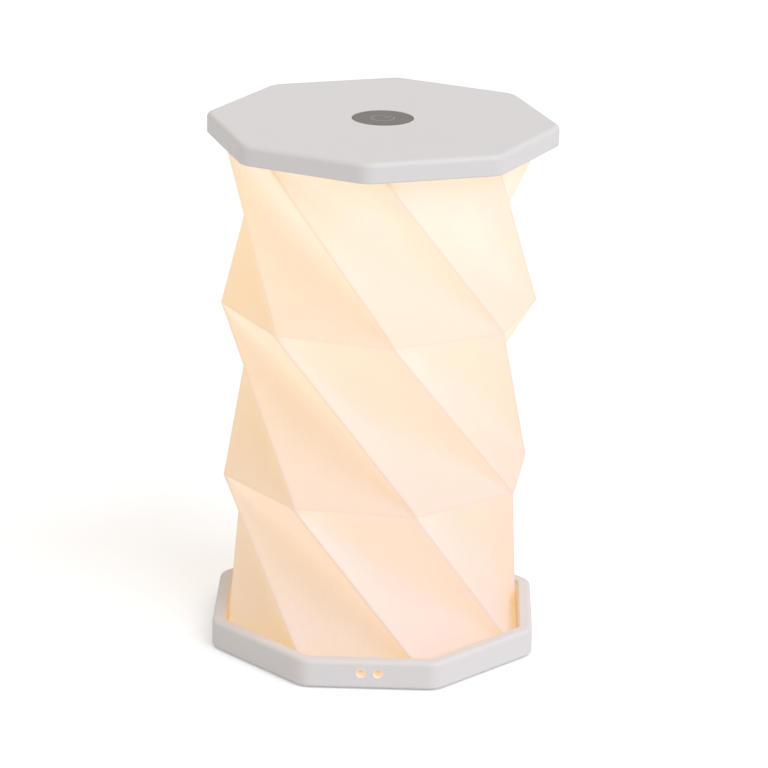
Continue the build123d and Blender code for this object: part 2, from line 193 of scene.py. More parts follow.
class LampShadeSettings(bpy.types.PropertyGroup):
    """Sizes and colours of the folded paper shade."""

    thickness: bpy.props.FloatProperty(
        name="Paper Thickness", description="Thickness of the sheet", default=0.00035, unit="LENGTH"
    )
    softness: bpy.props.FloatProperty(
        name="Valley Softness", description="Half width of the rounded valley folds",
        default=0.012, unit="LENGTH",
    )
    crease: bpy.props.FloatProperty(
        name="Crease Width", description="Half width of the rounded standing creases",
        default=0.0008, unit="LENGTH",
    )
    waviness: bpy.props.FloatProperty(
        name="Waviness", description="How far the panels swell out of true", default=0.0003, unit="LENGTH"
    )
    hem: bpy.props.FloatProperty(
        name="Hem Width", description="Width of the edge turned in under the rings",
        default=0.006, unit="LENGTH",
    )
    slip: bpy.props.FloatVectorProperty(
        name="Ring Slip", size=TIERS + 1, unit="ROTATION",
        description="Small turn of each crease ring from an even twist, from the base upwards",
        default=[math.radians(turn) for turn in (-1.28, 2.00, 1.75, 4.70)],
    )
    steps: bpy.props.IntProperty(
        name="Crease Steps", description="Cuts along each crease; an even number", default=16, min=2
    )
    paper: bpy.props.FloatVectorProperty(
        name="Paper", description="Colour of the paper by daylight",
        default=(0.385, 0.40, 0.546), subtype="COLOR",
    )
    even_glow: bpy.props.FloatVectorProperty(
        name="Even Glow", description="Light that comes through the paper all over",
        default=(0.505, 0.315, 0.076), subtype="COLOR",
    )
    bounced_glow: bpy.props.FloatVectorProperty(
        name="Bounced Glow", description="Light off the inner walls, added towards the top",
        default=(0.185, 0.136, 0.034), subtype="COLOR",
    )
    tilted_glow: bpy.props.FloatVectorProperty(
        name="Tilted Glow", description="Light added where the inside of a panel looks up at the head",
        default=(0.225, 0.156, 0.139), subtype="COLOR",
    )
    direct_glow: bpy.props.FloatVectorProperty(
        name="Direct Glow", description="Light added straight from the lamps in the head",
        default=(0.04, 0.066, 0.146), subtype="COLOR",
    )
    crest_glow: bpy.props.FloatVectorProperty(
        name="Crest Glow", description="Light added on the upper side of a standing crease, towards its top",
        default=(0.02, 0.055, 0.077), subtype="COLOR",
    )
    # painted shade: the glow is tinted darker on the lower side of each standing crease
    gutter_shade_tint: bpy.props.FloatVectorProperty(
        name="Gutter Tint", description="Colour kept by light on the lower side of a standing crease",
        default=(1.0, 0.96, 0.95), subtype="COLOR",
    )


class LampBodySettings(bpy.types.PropertyGroup):
    """Colours of the moulded head, base and button."""

    housing: bpy.props.FloatVectorProperty(
        name="Housing", description="Colour of the moulded head and base",
        default=(0.77, 0.74, 0.735), subtype="COLOR",
    )
    housing_roughness: bpy.props.FloatProperty(
        name="Housing Roughness", description="Satin of the housing", default=0.55, subtype="FACTOR"
    )
    button: bpy.props.FloatVectorProperty(
        name="Button", description="Colour of the button", default=(0.148, 0.125, 0.112), subtype="COLOR"
    )
    icon: bpy.props.FloatVectorProperty(
        name="Icon", description="Colour of the ring printed on the button",
        default=(0.26, 0.235, 0.21), subtype="COLOR",
    )
    icon_radius: bpy.props.FloatProperty(
        name="Icon Radius", description="Middle of the printed ring", default=0.0040, unit="LENGTH"
    )
    icon_line: bpy.props.FloatProperty(
        name="Icon Line", description="Width of the printed line", default=0.0006, unit="LENGTH"
    )
    icon_turn: bpy.props.FloatProperty(
        name="Icon Turn", description="Way the printed bar points, from the right",
        default=math.radians(46.0), subtype="ANGLE",
    )
    recess_glow: bpy.props.FloatVectorProperty(
        name="Recess Glow", description="Lamp light caught inside the rim",
        default=(0.15, 0.08, 0.02), subtype="COLOR",
    )
    hole_glow: bpy.props.FloatVectorProperty(
        name="Hole Glow", description="Lamp light caught in the strap holes",
        default=(0.30, 0.18, 0.09), subtype="COLOR",
    )


class LampStageSettings(bpy.types.PropertyGroup):
    """Camera, light and floor of the studio."""

    distance: bpy.props.FloatProperty(
        name="Camera Distance", description="From the camera to the point it looks at",
        default=1.2161, unit="LENGTH",
    )
    target_height: bpy.props.FloatProperty(
        name="Target Height", description="Height of the point it looks at", default=0.09417, unit="LENGTH"
    )
    azimuth: bpy.props.FloatProperty(
        name="Camera Azimuth", description="Turn round the lamp from the front",
        default=math.radians(1.01), subtype="ANGLE",
    )
    elevation: bpy.props.FloatProperty(
        name="Camera Elevation", description="Angle above the table",
        default=math.radians(18.79), subtype="ANGLE",
    )
    roll: bpy.props.FloatProperty(
        name="Camera Roll", description="Tilt of the picture", default=math.radians(1.092), subtype="ANGLE"
    )
    lens: bpy.props.FloatProperty(
        name="Lens", description="Focal length in millimetres", default=158.17, unit="CAMERA"
    )
    shift: bpy.props.FloatVectorProperty(
        name="Shift", description="Framing shift in pixels of the picture", size=2, default=(6.33, 0.64)
    )
    ambient: bpy.props.FloatProperty(
        name="Ambient", description="Even light from all round", default=0.55
    )
    ambient_color: bpy.props.FloatVectorProperty(
        name="Ambient Colour", description="Warm tint of the even light",
        default=(1.095, 1.04, 0.95), subtype="COLOR",
    )
    key: bpy.props.FloatProperty(
        name="Key Light", description="Strength of the soft light from the right", default=1.48
    )
    key_color: bpy.props.FloatVectorProperty(
        name="Key Colour", description="Cool tint of the key light",
        default=(0.89, 0.955, 1.075), subtype="COLOR",
    )
    key_azimuth: bpy.props.FloatProperty(
        name="Key Azimuth", description="Turn of the key light from the front",
        default=math.radians(46.0), subtype="ANGLE",
    )
    key_elevation: bpy.props.FloatProperty(
        name="Key Elevation", description="Height of the key light",
        default=math.radians(42.0), subtype="ANGLE",
    )
    key_spread: bpy.props.FloatProperty(
        name="Key Spread", description="Angular size of the key light",
        default=math.radians(50.0), subtype="ANGLE",
    )
    floor: bpy.props.FloatVectorProperty(
        name="Floor", description="Colour of the studio floor", default=(0.79, 0.80, 0.82), subtype="COLOR"
    )
    floor_lift: bpy.props.FloatProperty(
        name="Floor Lift", description="Brightness added to the floor in the picture", default=0.42
    )


def feed(tree, socket, value):
    """Links a socket to another node's output, or sets it to a plain value."""
    if isinstance(value, bpy.types.NodeSocket):
        tree.links.new(value, socket)
    else:
        socket.default_value = value


def add_node(tree, kind, inputs=(), **settings):
    """New node with its settings, and its inputs linked or set by name or number."""
    made = tree.nodes.new(kind)
    for name, value in settings.items():
        setattr(made, name, value)
    for key, value in dict(inputs).items():
        feed(tree, made.inputs[key], value)
    return made


def math_node(tree, operation, *values, clamp=False):
    """Output of a Math node on sockets or numbers."""
    made = add_node(tree, "ShaderNodeMath", enumerate(values), operation=operation, use_clamp=clamp)
    return made.outputs[0]


def product(tree, first, *others):
    """Product of sockets or numbers."""
    for other in others:
        first = math_node(tree, "MULTIPLY", first, other)
    return first


def hypotenuse(tree, first, second):
    """Square root of the sum of two squares."""
    squares = [math_node(tree, "POWER", side, 2.0) for side in (first, second)]
    return math_node(tree, "SQRT", math_node(tree, "ADD", *squares))


def swing(tree, value, middle, width):
    """Number that swings by a width about its middle as a socket goes from 0 to 1."""
    return math_node(tree, "MULTIPLY_ADD", value, width, middle - width / 2)


def lessened(tree, mask, share):
    """1 where a mask is 0, and less than that by a share where it is 1."""
    return math_node(tree, "MULTIPLY_ADD", mask, -share, 1.0)


def ramp_value(tree, value, low, high):
    """Smooth step of a socket from 0 at low to 1 at high."""
    inputs = {"Value": value, "From Min": low, "From Max": high}
    node = add_node(tree, "ShaderNodeMapRange", inputs, interpolation_type="SMOOTHSTEP")
    return node.outputs["Result"]


def line_mask(tree, count, spacing, width):
    """1 at the whole numbers of a count, which lie a spacing apart, and 0 beyond a width from them."""
    away = math_node(tree, "PINGPONG", count, 0.5)
    return ramp_value(tree, product(tree, away, spacing), width, 0.0)


def mix_color(tree, factor, first, second, blend="MIX"):
    """Output of a colour mix of two colours or sockets."""
    inputs = {MIX_FACTOR: factor, MIX_FIRST: first, MIX_SECOND: second}
    node = add_node(tree, "ShaderNodeMix", inputs, data_type="RGBA", blend_type=blend)
    return node.outputs[MIX_RESULT]


def noise_value(tree, vector, scale, detail, roughness=0.5):
    """Noise from 0 to 1 over a vector."""
    inputs = {"Vector": vector, "Scale": scale, "Detail": detail, "Roughness": roughness}
    return add_node(tree, "ShaderNodeTexNoise", inputs).outputs["Fac"]


def stretch_vector(tree, vector, scale, turn=(0.0, 0.0, 0.0)):
    """Vector turned and stretched."""
    inputs = {"Vector": vector, "Rotation": turn, "Scale": scale}
    return add_node(tree, "ShaderNodeMapping", inputs).outputs["Vector"]


def split_vector(tree, vector):
    """X, Y and Z of a vector."""
    return add_node(tree, "ShaderNodeSeparateXYZ", {0: vector}).outputs


def object_place(tree):
    """Object coordinates of the piece."""
    return tree.nodes.new("ShaderNodeTexCoord").outputs["Object"]


def bump_height(tree, height, distance):
    """Normal of a Bump node on a height."""
    return add_node(tree, "ShaderNodeBump", {"Height": height, "Distance": distance}).outputs["Normal"]


def rgba(color, share=1.0):
    """Colour times a share, with full alpha."""
    return (*(channel * share for channel in color), 1.0)


def effect_group(name, numbers=()):
    """New shader node group with a Vector and some numbers as inputs, and those inputs."""
    tree = bpy.data.node_groups.new(name, "ShaderNodeTree")
    tree.interface.new_socket("Vector", in_out="INPUT", socket_type="NodeSocketVector")
    for socket, value in dict(numbers).items():
        made = tree.interface.new_socket(socket, in_out="INPUT", socket_type="NodeSocketFloat")
        made.default_value = value
    return tree, tree.nodes.new("NodeGroupInput").outputs


def put_out(tree, **results):
    """Makes the outputs of a node group and feeds them."""
    for name in results:
        tree.interface.new_socket(name, in_out="OUTPUT", socket_type="NodeSocketFloat")
    add_node(tree, "NodeGroupOutput", results)


def moulded_grain(name):
    """Fine spark-eroded grain of a moulded face, with slow drifts of tone."""
    tree, given = effect_group(name, {"Grain Scale": GRAIN_SCALE})
    grain = noise_value(tree, given["Vector"], given["Grain Scale"], detail=3.0)
    drift = noise_value(tree, given["Vector"], DRIFT_SCALE, detail=2.0)
    slow = product(tree, drift, 1.0 - GRAIN_SHARE)
    put_out(tree, Height=grain, Tone=math_node(tree, "MULTIPLY_ADD", grain, GRAIN_SHARE, slow))
    return tree


def drawn_metal(name):
    """Fine drawn lines and small pits of a plated steel face."""
    tree, given = effect_group(name)
    along = stretch_vector(tree, given["Vector"], LINE_STRETCH)
    line = noise_value(tree, along, 1.0, detail=3.0)
    pits = noise_value(tree, given["Vector"], PIT_SCALE, detail=2.0)
    put_out(tree, Line=line, Height=math_node(tree, "MULTIPLY_ADD", pits, PIT_SHARE, line))
    return tree


def paper_fibre(name):
    """Long fibres of the sheet and the clouds that show when light comes through it."""
    tree, given = effect_group(name)
    along = stretch_vector(tree, given["Vector"], FIBRE_STRETCH)
    fibre = noise_value(tree, along, 1.0, detail=4.0, roughness=0.6)
    across = stretch_vector(tree, given["Vector"], CROSSING_STRETCH, CROSSING_TURN)
    crossing = noise_value(tree, across, 1.0, detail=3.0)
    cloud = noise_value(tree, given["Vector"], CLOUD_SCALE, detail=3.0)
    height = math_node(tree, "MULTIPLY_ADD", crossing, CROSSING_SHARE, fibre)
    put_out(tree, Fibre=fibre, Cloud=cloud, Height=height)
    return tree


def fold_crease(name):
    """Lines of the creases and the glued lap, 1 along a line and 0 away from it, and masks of the painted
    light on the upper side and the painted shade on the lower side of each standing crease, all from the
    flat cut.
    """
    tree, given = effect_group(name, {"Width": CREASE_LINE})
    place = split_vector(tree, given["Vector"])
    row = math_node(tree, "DIVIDE", place["Y"], PANEL_HEIGHT)
    slid = math_node(tree, "MULTIPLY_ADD", row, -PANEL_SLANT, place["X"])
    column = math_node(tree, "DIVIDE", slid, PANEL_WIDTH)
    after = product(tree, math_node(tree, "FRACT", column), PANEL_REACH)
    rising = math_node(tree, "FRACT", row)
    overlap = product(tree, column, PANEL_REACH)
    put_out(
        tree,
        Standing=line_mask(tree, column, PANEL_REACH, given["Width"]),
        Ring=line_mask(tree, row, PANEL_HEIGHT, given["Width"]),
        Lap=ramp_value(tree, overlap, LAP_WIDTH + LAP_STEP, LAP_WIDTH),
        Crest=product(tree, ramp_value(tree, after, CREST_REACH, 0.0), rising),
        Gutter=ramp_value(tree, after, PANEL_REACH - GUTTER_REACH, PANEL_REACH),
    )
    return tree


GROUPS = {
    "Moulded Grain": moulded_grain,
    "Drawn Metal": drawn_metal,
    "Paper Fibre": paper_fibre,
    "Fold Crease": fold_crease,
}


def place_group(tree, name, inputs):
    """Outputs of a shared node group placed in a material. The group is built when it is first needed."""
    group = bpy.data.node_groups.get(name) or GROUPS[name](name)
    return add_node(tree, "ShaderNodeGroup", inputs, node_tree=group).outputs


def shader_parts(material):
    """Node tree of a material and the inputs of its Principled shader."""
    tree = material.node_tree
    return tree, tree.nodes["Principled BSDF"].inputs


def new_material(name, numbers=()):
    """Material with plain numbers on its Principled shader, its node tree and the shader's inputs."""
    material = bpy.data.materials.new(name)
    material.use_nodes = True
    tree, shader = shader_parts(material)
    for socket, value in dict(numbers).items():
        shader[socket].default_value = value
    return material, tree, shader


def moulded_material(name, color, roughness, grain_scale=GRAIN_SCALE, grain_depth=GRAIN_DEPTH):
    """Satin moulded plastic with a fine grain."""
    material, tree, shader = new_material(name)
    grain = place_group(tree, "Moulded Grain", {"Vector": object_place(tree), "Grain Scale": grain_scale})
    tone = mix_color(tree, grain["Tone"], rgba(color, GRAIN_TONE), rgba(color))
    feed(tree, shader["Base Color"], tone)
    feed(tree, shader["Roughness"], swing(tree, grain["Tone"], roughness, GRAIN_SATIN))
    feed(tree, shader["Normal"], bump_height(tree, grain["Height"], grain_depth))
    return material


def steel_material(name, color, roughness):
    """Plated steel with fine drawn lines."""
    material, tree, shader = new_material(name, {"Metallic": 1.0})
    metal = place_group(tree, "Drawn Metal", {"Vector": object_place(tree)})
    feed(tree, shader["Base Color"], mix_color(tree, metal["Line"], rgba(color, LINE_TONE), rgba(color)))
    feed(tree, shader["Roughness"], swing(tree, metal["Line"], roughness, LINE_SATIN))
    feed(tree, shader["Normal"], bump_height(tree, metal["Height"], LINE_DEPTH))
    return material


def lit_material(name, color, strength):
    """Milky plastic with light behind it."""
    material = moulded_material(name, color, roughness=0.35)
    tree, shader = shader_parts(material)
    feed(tree, shader["Emission Strength"], strength)
    feed(tree, shader["Emission Color"], shader["Base Color"].links[0].from_socket)
    return material


def tray_material(settings):
    """Moulded housing of the base, with lamp light caught inside its rim and in the strap holes."""
    material = moulded_material("Moulded Base", settings.housing, settings.housing_roughness)
    tree, shader = shader_parts(material)
    feed(tree, shader["Emission Strength"], 1.0)
    place = split_vector(tree, object_place(tree))
    across, deep = (math_node(tree, "ABSOLUTE", place[axis]) for axis in "XY")
    slant = product(tree, math_node(tree, "ADD", across, deep), math.sqrt(0.5))
    reach = math_node(tree, "MAXIMUM", math_node(tree, "MAXIMUM", across, deep), slant)
    inside = ramp_value(tree, reach, *(RIM_INNER + past for past in RIM_FADE))
    below = ramp_value(tree, place["Z"], RIM_TOP, RIM_TOP - RIM_GLOW_DEPTH)
    aside = math_node(tree, "SUBTRACT", across, HOLE_PITCH / 2)
    above = math_node(tree, "SUBTRACT", place["Z"], HOLE_HEIGHT)
    bore = ramp_value(tree, hypotenuse(tree, aside, above), HOLE_RADIUS + HOLE_FADE, HOLE_RADIUS)
    front = math_node(tree, "LESS_THAN", place["Y"], 0.0)
    recess = mix_color(tree, product(tree, inside, below), BLACK, rgba(settings.recess_glow))
    caught = mix_color(tree, product(tree, bore, front), recess, rgba(settings.hole_glow))
    feed(tree, shader["Emission Color"], caught)
    return material


def icon_mask(tree, place, radius, settings):
    """1 on the printed icon: a ring that is cut away round a bar."""
    wide, sharp = (settings.icon_line * lines for lines in ICON_FADE)
    bar_start = [settings.icon_line * lines for lines in BAR_FADE]
    bar_room = [settings.icon_line * lines for lines in ROOM_FADE]
    off_ring = math_node(tree, "ABSOLUTE", math_node(tree, "SUBTRACT", radius, settings.icon_radius))
    ring = ramp_value(tree, off_ring, wide, sharp)
    turned = add_node(tree, "ShaderNodeVectorRotate", {"Vector": place, "Angle": -settings.icon_turn})
    bar_place = split_vector(tree, turned.outputs[0])
    off_bar = math_node(tree, "ABSOLUTE", bar_place["Y"])
    ahead = ramp_value(tree, bar_place["X"], *bar_start)
    within = ramp_value(tree, bar_place["X"], settings.icon_radius + wide, settings.icon_radius + sharp)
    bar = product(tree, ramp_value(tree, off_bar, wide, sharp), ahead, within)
    room = product(tree, ahead, ramp_value(tree, off_bar, *bar_room))
    return math_node(tree, "MAXIMUM", product(tree, ring, lessened(tree, room, 1.0)), bar)


def button_material(settings):
    """Satin taupe button with a painted shadow of the gap round its edge and a printed icon."""
    material = moulded_material("Satin Button", settings.button, roughness=0.5, grain_scale=4200.0)
    tree, shader = shader_parts(material)
    place = object_place(tree)
    axes = split_vector(tree, place)
    radius = hypotenuse(tree, axes["X"], axes["Y"])
    face = ramp_value(tree, axes["Z"], *(BUTTON_FACE - depth for depth in FACE_FADE))
    printed = product(tree, icon_mask(tree, place, radius, settings), face)
    # painted shade: the rim of the cap is darkened where the gap round the button would shade it
    edge = ramp_value(tree, radius, *(BUTTON_RADIUS - inset for inset in GAP_SHADE_FADE))
    plain = shader["Base Color"].links[0].from_socket
    gap_shaded = mix_color(tree, edge, plain, rgba(settings.button, GAP_SHADE_TONE))
    feed(tree, shader["Base Color"], mix_color(tree, printed, gap_shaded, rgba(settings.icon)))
    return material


def paper_material(settings):
    """Translucent fibre paper, lit from inside."""
    numbers = {"Roughness": 0.8, "Specular IOR Level": 0.25, "Emission Strength": 1.0}
    material, tree, shader = new_material("Lit Fibre Paper", numbers)
    flat = add_node(tree, "ShaderNodeUVMap", uv_map=FLAT_CUT).outputs[0]
    fibre = place_group(tree, "Paper Fibre", {"Vector": flat})
    crease = place_group(tree, "Fold Crease", {"Vector": flat})
    line = math_node(tree, "MAXIMUM", crease["Standing"], product(tree, crease["Ring"], RING_SHARE))
    even = add_node(tree, "ShaderNodeAttribute", attribute_name=GLOW).outputs["Color"]
    # painted light along the upper side and painted shade along the lower side of each standing crease, laid
    # on the glow
    crested = mix_color(tree, crease["Crest"], even, rgba(settings.crest_glow), blend="ADD")
    light = mix_color(tree, crease["Gutter"], crested, rgba(settings.gutter_shade_tint), blend="MULTIPLY")
    passed = product(
        tree,
        swing(tree, fibre["Cloud"], 1.0, CLOUD_LIGHT),
        swing(tree, fibre["Fibre"], 1.0, FIBRE_LIGHT),
        lessened(tree, line, CREASE_LIGHT),
        lessened(tree, crease["Lap"], LAP_LIGHT),
    )
    feed(tree, shader["Emission Color"], mix_color(tree, 1.0, light, passed, blend="MULTIPLY"))
    paper = mix_color(tree, fibre["Fibre"], rgba(settings.paper, FIBRE_TONE), rgba(settings.paper))
    feed(tree, shader["Base Color"], mix_color(tree, line, paper, rgba(settings.paper, CREASE_TONE)))
    height = math_node(tree, "MULTIPLY_ADD", fibre["Height"], FIBRE_RELIEF, crease["Lap"])
    feed(tree, shader["Normal"], bump_height(tree, height, LAP_STEP))
    return material


def finish_nodes(material, *names):
    """Gives CAD nodes a finish."""
    for name in names:
        slots = frame["nodes"][name].data.materials
        slots.clear()
        slots.append(material)


def add_object(context, name, data):
    """New object in the scene."""
    made = bpy.data.objects.new(name, data)
    context.collection.objects.link(made)
    return made


def finished_mesh(bm, name):
    """Mesh of a bmesh, which is freed."""
    mesh = bpy.data.meshes.new(name)
    bm.to_mesh(mesh)
    bm.free()
    return mesh


def pick(parts, kind):
    """Parts of one kind out of what a bmesh operator made."""
    return [part for part in parts if isinstance(part, kind)]


def ring_height(row):
    """Height of a crease ring, counted from the base upwards."""
    return SHADE_LOW + row * TIER_HEIGHT


def ring_turns(settings):
    """Turn of each crease ring from the base upwards."""
    return [slip - row * TWIST for row, slip in enumerate(settings.slip)]


def ring_corner(turns, column, row):
    """Corner of the open shade for a corner of the flat cut."""
    turn = SIDE_TURN * (column + LAP_COLUMN + 0.5) + turns[row]
    return Vector((RING_RADIUS * math.cos(turn), RING_RADIUS * math.sin(turn), ring_height(row)))


def ring_edges(ring):
    """Edges between neighbouring corners of a crease ring."""
    linked = {edge for vert in ring for edge in vert.link_edges}
    return [edge for edge in linked if all(vert in ring for vert in edge.verts)]


def seat_turn(place, tier):
    """Turn of a place from the middle of the nearest side of an end's seat."""
    return math.remainder(math.atan2(place.y, place.x) + tier * TWIST, SIDE_TURN)


def raise_tier(bm, lower, tier, turns, uv):
    """Extrudes a crease ring by one twisted tier, with its creases and flat cut. Returns the new ring."""
    made = bmesh.ops.extrude_edge_only(bm, edges=ring_edges(lower))["geom"]
    raised = pick(made, bmesh.types.BMVert)
    bmesh.ops.translate(bm, verts=raised, vec=(0.0, 0.0, TIER_HEIGHT))
    bmesh.ops.rotate(bm, verts=raised, matrix=Matrix.Rotation(turns[tier + 1] - turns[tier], 3, "Z"))
    upper = []
    for corner in lower:
        rising = next(edge for edge in corner.link_edges if edge.other_vert(corner) in raised)
        rising.smooth = False
        upper.append(rising.other_vert(corner))
    for edge in ring_edges(upper):
        edge.smooth = False
    for side in range(SIDES):
        after = (side + 1) % SIDES
        corners = {
            lower[side]: (side, tier), lower[after]: (side + 1, tier),
            upper[side]: (side, tier + 1), upper[after]: (side + 1, tier + 1),
        }
        panel = next(face for face in lower[side].link_faces if all(v in corners for v in face.verts))
        for loop in panel.loops:
            column, row = corners[loop.vert]
            loop[uv].uv = (column * PANEL_WIDTH + row * PANEL_SLANT, row * PANEL_HEIGHT)
        bmesh.ops.connect_verts(bm, verts=[upper[side], lower[after]])
    return upper


def panel_place(flat):
    """Column and tier of the panel at a point of the flat cut, and the point's place in it from 0 to 1."""
    row = flat.y / PANEL_HEIGHT
    column = (flat.x - row * PANEL_SLANT) / PANEL_WIDTH
    side = min(int(column + EDGE_SPARE), SIDES - 1)
    tier = min(int(row + EDGE_SPARE), TIERS - 1)
    return side, tier, column - side, row - tier


def valley_lift(turns, side, tier, across, up, softness):
    """How far a point of a panel moves out where the valley fold is rounded instead of sharp."""
    apex = 1.0 - across - up
    along = across + apex * VALLEY_FOOT if apex > 0 else (1.0 - up) - apex * (1.0 - VALLEY_FOOT)
    width = softness * math.sin(math.pi * min(max(along, 0.0), 1.0))
    away = abs(apex) * VALLEY_REACH
    if away >= width:
        return Vector()
    low_left, low_right = (ring_corner(turns, side + step, tier) for step in (0, 1))
    high_left, high_right = (ring_corner(turns, side + step, tier + 1) for step in (0, 1))
    lower = (low_right - low_left).cross(high_left - low_left).normalized()
    upper = (low_right - high_left).cross(high_right - high_left).normalized()
    out = (lower + upper).normalized()
    slope = math.sqrt(1.0 - lower.dot(out) ** 2)
    return out * slope * (width - away) ** 2 / (2 * width)


def bow(place):
    """Rise from 0 at both ends of a panel to 1 in its middle."""
    return 4 * place * (1 - place)


def soften_panels(bm, uv, turns, settings):
    """Rounds the valley folds and lets the panels swell a little, with the other creases left straight."""
    bm.normal_update()
    moves = []
    for vert in bm.verts:
        side, tier, across, up = panel_place(vert.link_loops[0][uv].uv)
        swell = settings.waviness * bow(across) * bow(up) * noise.noise(vert.co * SWELL_SCALE)
        moves.append(valley_lift(turns, side, tier, across, up, settings.softness) + vert.normal * swell)
    for vert, move in zip(bm.verts, moves):
        vert.co += move


def round_creases(bm, width):
    """Rounds the standing creases, which leaves only the crease rings sharp."""
    standing = []
    for edge in bm.edges:
        low, high = (vert.co.z for vert in edge.verts)
        if not edge.smooth and abs(low - high) > EDGE_SPARE:
            edge.smooth = True
            standing.append(edge)
    bmesh.ops.bevel(
        bm, geom=standing, offset=width, offset_type="OFFSET", segments=2, profile=0.5,
        affect="EDGES", clamp_overlap=True, material=-1,
    )


def seat_end(bm, tier):
    """Presses an end of the sheet flat against the sides of its seat, as far as the clamp ring reaches."""
    end = ring_height(tier)
    mouth = RING_MOUTHS[tier]
    geom = [*bm.verts, *bm.edges, *bm.faces]
    plane = {"plane_co": (0.0, 0.0, mouth), "plane_no": (0.0, 0.0, 1.0)}
    bmesh.ops.bisect_plane(bm, geom=geom, dist=EDGE_SPARE, **plane)
    for vert in bm.verts:
        if abs(vert.co.z - end) < abs(mouth - end) + EDGE_SPARE:
            vert.co.xy *= RING_APOTHEM / math.cos(seat_turn(vert.co, tier)) / vert.co.xy.length


def turn_hem(bm, tier, width):
    """Turns an open edge of the sheet inwards in three bands, the middle one with a gap for each screw."""
    end = ring_height(tier)
    edges = [e for e in bm.edges if e.is_boundary and abs(e.verts[0].co.z - end) < TIER_HEIGHT / 2]
    gap_turn = (PANEL_WIDTH * SIDES / len(edges) + SCREW_GAP) / (2 * SCREW_RING)
    reach = RING_APOTHEM
    holes = []
    for inner in (SCREW_RING + SCREW_GAP / 2, SCREW_RING - SCREW_GAP / 2, RING_APOTHEM - width):
        made = bmesh.ops.extrude_edge_only(bm, edges=edges)["geom"]
        edges = [edge for edge in pick(made, bmesh.types.BMEdge) if edge.is_boundary]
        scale = (inner / reach, inner / reach, 1.0)
        bmesh.ops.scale(bm, verts=pick(made, bmesh.types.BMVert), vec=scale)
        if inner < SCREW_RING < reach:
            for face in pick(made, bmesh.types.BMFace):
                if abs(seat_turn(face.calc_center_median(), tier)) < gap_turn:
                    holes.append(face)
        reach = inner
    bmesh.ops.delete(bm, geom=holes, context="FACES")


def fold_sheet(settings):
    """Creased sheet of the open shade as a mesh with its flat cut as a UV map."""
    bm = bmesh.new()
    uv = bm.loops.layers.uv.new(FLAT_CUT)
    turns = ring_turns(settings)
    start = Matrix.Translation((0.0, 0.0, SHADE_LOW)) @ Matrix.Rotation(SIDE_TURN / 2 + turns[0], 4, "Z")
    bmesh.ops.create_circle(bm, segments=SIDES, radius=RING_RADIUS, matrix=start)
    first = SIDE_TURN * LAP_COLUMN
    ring = sorted(bm.verts, key=lambda vert: (math.atan2(vert.co.y, vert.co.x) - first) % math.tau)
    for edge in bm.edges:
        edge.smooth = False
    for tier in range(TIERS):
        ring = raise_tier(bm, ring, tier, turns, uv)
    bmesh.ops.subdivide_edges(bm, edges=bm.edges[:], cuts=settings.steps, use_grid_fill=True)
    bmesh.ops.recalc_face_normals(bm, faces=bm.faces)
    if sum(face.normal.dot(face.calc_center_median()) for face in bm.faces) < 0:
        bmesh.ops.reverse_faces(bm, faces=bm.faces)
    soften_panels(bm, uv, turns, settings)
    round_creases(bm, settings.crease)
    for tier in (0, TIERS):
        seat_end(bm, tier)
        turn_hem(bm, tier, settings.hem)
    for face in bm.faces:
        face.smooth = True
    return finished_mesh(bm, "paper_shade")


def inner_light(points, normals, settings):
    """Colour of the light that comes through the sheet, from the lamps in the head and off other walls."""
    direct = np.zeros(len(points))
    for step in range(LAMP_COUNT):
        turn = math.tau * step / LAMP_COUNT
        lamp = np.array((LAMP_CIRCLE * math.cos(turn), LAMP_CIRCLE * math.sin(turn), LIGHT_HEIGHT))
        ray = lamp - points
        length = np.linalg.norm(ray, axis=1)
        facing = np.clip(-(ray * normals).sum(1) / length, 0.0, 1.0)
        falling = np.clip(ray[:, 2] / length, 0.0, 1.0)
        direct += facing * np.sqrt(falling) * (RING_RADIUS / length) ** 2 / LAMP_COUNT
    height = np.clip((points[:, 2] - SHADE_LOW) / SHADE_HEIGHT, 0.0, 1.0)
    hood = np.clip(1.0 - (SHADE_HIGH - points[:, 2]) / HOOD_REACH, 0.0, 1.0)
    bounced = height * (1.0 - HOOD_SHARE * hood)
    looking_up = (1.0 - normals[:, 2]) / 2
    shares = np.stack((np.ones(len(points)), bounced, looking_up, direct), axis=1)
    glows = (settings.even_glow, settings.bounced_glow, settings.tilted_glow, settings.direct_glow)
    return shares @ np.array(glows)


def store_glow(mesh, settings):
    """Stores the colour that the sheet glows at each face corner."""
    count = len(mesh.loops)
    normals = np.zeros(count * 3)
    mesh.corner_normals.foreach_get("vector", normals)
    vertex = np.zeros(count, int)
    mesh.loops.foreach_get("vertex_index", vertex)
    points = np.zeros(len(mesh.vertices) * 3)
    mesh.vertices.foreach_get("co", points)
    corners = points.reshape(-1, 3)[vertex]
    glow = mesh.attributes.new(GLOW, "FLOAT_VECTOR", "CORNER")
    light = inner_light(corners, normals.reshape(-1, 3), settings)
    glow.data.foreach_set("vector", light.astype(np.float32).ravel())


class LAMP_OT_fold_shade(bpy.types.Operator):
    """Fold the lit paper shade"""

    bl_idname = "lamp.fold_shade"
    bl_label = "Fold Shade"

    def execute(self, context):
        settings = context.scene.lamp_shade
        mesh = fold_sheet(settings)
        store_glow(mesh, settings)
        mesh.materials.append(paper_material(settings))
        shade = add_object(context, "paper_shade", mesh)
        wall = shade.modifiers.new("Paper thickness", "SOLIDIFY")
        wall.thickness = settings.thickness
        wall.offset = -1.0
        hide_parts("shade")
        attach(shade, "shade")
        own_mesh(shade)
        return {"FINISHED"}


